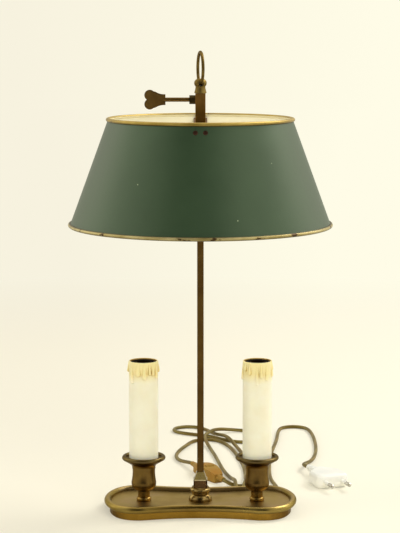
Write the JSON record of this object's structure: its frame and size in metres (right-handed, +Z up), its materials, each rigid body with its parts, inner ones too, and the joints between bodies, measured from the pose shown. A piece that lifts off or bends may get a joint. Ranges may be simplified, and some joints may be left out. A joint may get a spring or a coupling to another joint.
{
  "type": "bouillotte lamp",
  "caption": "Bouillotte desk lamp: candle lights on a waisted brass tray, a square rod with a carrying ring, and a painted metal shade that slides and is clamped by a heart-shaped key",
  "frame": {"origin": "on the table under the rod's axis, at the centre of the tray's footprint", "axes": "+Z up along the rod; +X to the right of someone facing the lamp, away from the key; -Y is the front, and the cord leaves at the back on +Y"},
  "size_m": [0.2762, 0.4769, 0.4405],
  "materials": {
    "tray_brass": "worn satin",
    "turned_brass": "aged polished",
    "cup_brass": "aged polished",
    "rod_brass": "aged satin",
    "ring_brass": "worn polished",
    "key_bronze": "dark aged",
    "strap_copper": "dark aged",
    "rim_gold": "satin gold",
    "fitting_brass": "satin",
    "shade_green": "satin green paint",
    "shade_cream": "satin cream paint",
    "candle_cream": "waxy",
    "holder_black": "moulded black",
    "cord_gold": "translucent gold",
    "switch_gold": "moulded gold",
    "plug_white": "moulded white",
    "pin_nickel": "plated",
    "steel": "plain",
    "felt": "felt",
    "bush_rubber": "moulded",
    "block_plastic": "moulded",
    "wire_plastic": "insulation"
  },
  "bodies": {
    "base": {"base_tray": "tray_brass", "bottom_plate": "steel", "felt_pad": "felt", "plate_screws": "steel", "cord_bush": "bush_rubber", "terminal_block": "block_plastic", "inner_lead": "cord_gold", "wire_left": "wire_plastic", "wire_right": "wire_plastic", "hub_flange": "turned_brass", "collar": "turned_brass", "rod": "rod_brass", "rod_nut": "fitting_brass", "rod_washer": "steel", "candle_cup_left": "cup_brass", "candle_cup_right": "cup_brass", "stem_tube_left": "fitting_brass", "stem_tube_right": "fitting_brass", "tube_nuts": "fitting_brass", "socket_body_left": "holder_black", "socket_body_right": "holder_black", "socket_shell_left": "fitting_brass", "socket_shell_right": "fitting_brass", "socket_contacts": "fitting_brass", "candle_sleeve_left": "candle_cream", "candle_sleeve_right": "candle_cream", "finial": "turned_brass", "cord_base": "cord_gold", "cord_plug": "cord_gold", "switch_bottom": "switch_gold", "switch_top": "switch_gold", "switch_screws": "steel", "plug_body": "plug_white", "plug_relief": "plug_white", "plug_pins": "pin_nickel", "pin_sleeves": "plug_white"},
    "shade": {"shade_sleeve": "rod_brass", "key_boss": "key_bronze", "shade_strap": "strap_copper", "strap_rivets": "strap_copper", "shade_shell": "shade_green", "top_rim": "rim_gold", "bottom_rim": "rim_gold"},
    "key": {"clamp_key": "key_bronze"},
    "ring": {"finial_ring": "ring_brass"},
    "rocker": {"switch_rocker": "switch_gold"}
  },
  "joints": [
    {"name": "shade_slide", "type": "slide", "parent": "base", "child": "shade", "axis": [0, 0, 1], "range_m": [-0.235, 0]},
    {"name": "key_turn", "type": "hinge", "parent": "shade", "child": "key", "pos_m": [-0.02, 0, 0.3948], "axis": [-1, 0, 0], "range_deg": [0, 360]},
    {"name": "ring_swing", "type": "hinge", "parent": "base", "child": "ring", "pos_m": [0, 0, 0.40955], "axis": [0.1633, -0.9866, 0], "range_deg": [-160, 105]},
    {"name": "switch_rock", "type": "hinge", "parent": "base", "child": "rocker", "pos_m": [0.0077, 0.1244, 0.0096], "axis": [0.9063, 0.4226, 0], "range_deg": [0, 16]}
  ]
}
